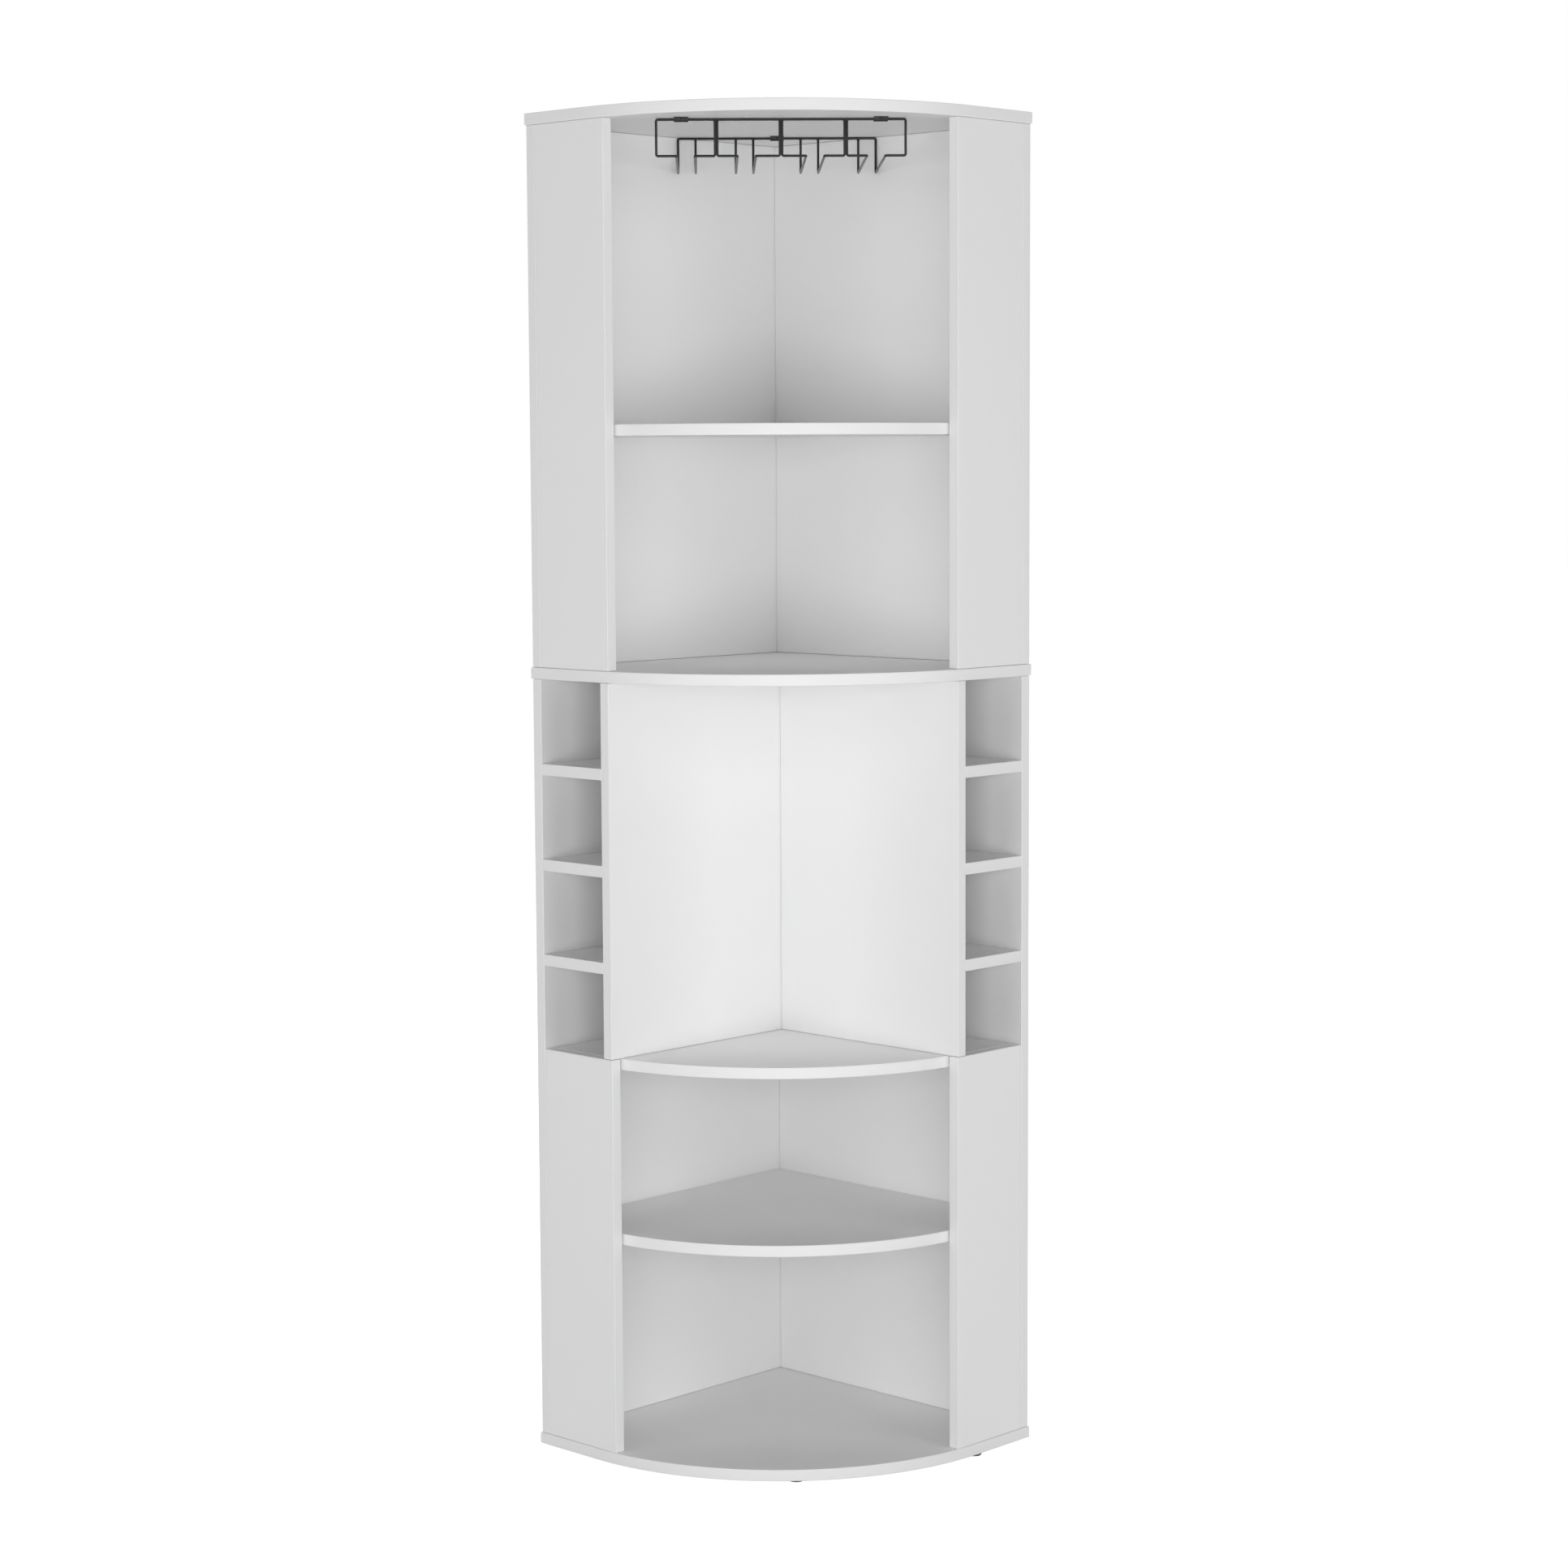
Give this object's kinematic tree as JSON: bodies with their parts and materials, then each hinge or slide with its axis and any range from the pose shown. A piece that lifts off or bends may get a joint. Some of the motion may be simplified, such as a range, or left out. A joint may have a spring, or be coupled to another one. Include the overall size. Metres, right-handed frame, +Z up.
{
  "type": "corner bar cabinet",
  "caption": "Tall quarter-round corner cabinet of white boards with shelves, bottle cubbies down both sides and a hanging rack for stemware.",
  "frame": {"origin": "on the floor, under the middle of the square footprint that the boards fill", "axes": "+Z up; the room walls are at -X and +Y, and the rounded front looks along the diagonal towards +X and -Y"},
  "size_m": [0.46, 0.46, 1.742],
  "materials": {
    "white_melamine": "satin white melamine with white edge band",
    "black_wire": "satin black coated round wire",
    "black_sheet": "satin black coated strip and screws",
    "zinc_steel": "bright zinc plated",
    "beech": "plain beech",
    "foot_plastic": "matt dark plastic"
  },
  "bodies": {
    "root": {"base_board": "white_melamine", "corner_foot": "foot_plastic", "cubby_floor": "white_melamine", "front_foot": "foot_plastic", "left_base_screw_1": "zinc_steel", "left_base_screw_2": "zinc_steel", "left_cubby_divider_1": "white_melamine", "left_cubby_divider_2": "white_melamine", "left_cubby_divider_3": "white_melamine", "left_cubby_floor_screw": "zinc_steel", "left_foot": "foot_plastic", "left_lower_shelf_screw": "zinc_steel", "left_lower_side": "white_melamine", "left_lower_side_screw": "zinc_steel", "left_lower_wall": "white_melamine", "left_middle_dowel_1": "beech", "left_middle_dowel_2": "beech", "left_partition": "white_melamine", "left_partition_foot_dowel": "beech", "left_partition_top_dowel": "beech", "left_top_screw_1": "zinc_steel", "left_top_screw_2": "zinc_steel", "left_upper_shelf_screw": "zinc_steel", "left_upper_side": "white_melamine", "left_upper_side_screw": "zinc_steel", "left_upper_wall": "white_melamine", "lower_shelf": "white_melamine", "middle_board": "white_melamine", "rack_clip_1": "black_sheet", "rack_clip_2": "black_sheet", "rack_clip_3": "black_sheet", "rack_clip_screw_1": "black_sheet", "rack_clip_screw_2": "black_sheet", "rack_clip_screw_3": "black_sheet", "right_base_screw_1": "zinc_steel", "right_base_screw_2": "zinc_steel", "right_cubby_divider_1": "white_melamine", "right_cubby_divider_2": "white_melamine", "right_cubby_divider_3": "white_melamine", "right_cubby_floor_screw": "zinc_steel", "right_foot": "foot_plastic", "right_lower_shelf_screw": "zinc_steel", "right_lower_side": "white_melamine", "right_lower_side_screw": "zinc_steel", "right_lower_wall": "white_melamine", "right_middle_dowel_1": "beech", "right_middle_dowel_2": "beech", "right_partition": "white_melamine", "right_partition_foot_dowel": "beech", "right_partition_top_dowel": "beech", "right_top_screw_1": "zinc_steel", "right_top_screw_2": "zinc_steel", "right_upper_shelf_screw": "zinc_steel", "right_upper_side": "white_melamine", "right_upper_side_screw": "zinc_steel", "right_upper_wall": "white_melamine", "stemware_rack": "black_wire", "top_board": "white_melamine", "upper_shelf": "white_melamine"}
  },
  "joints": []
}
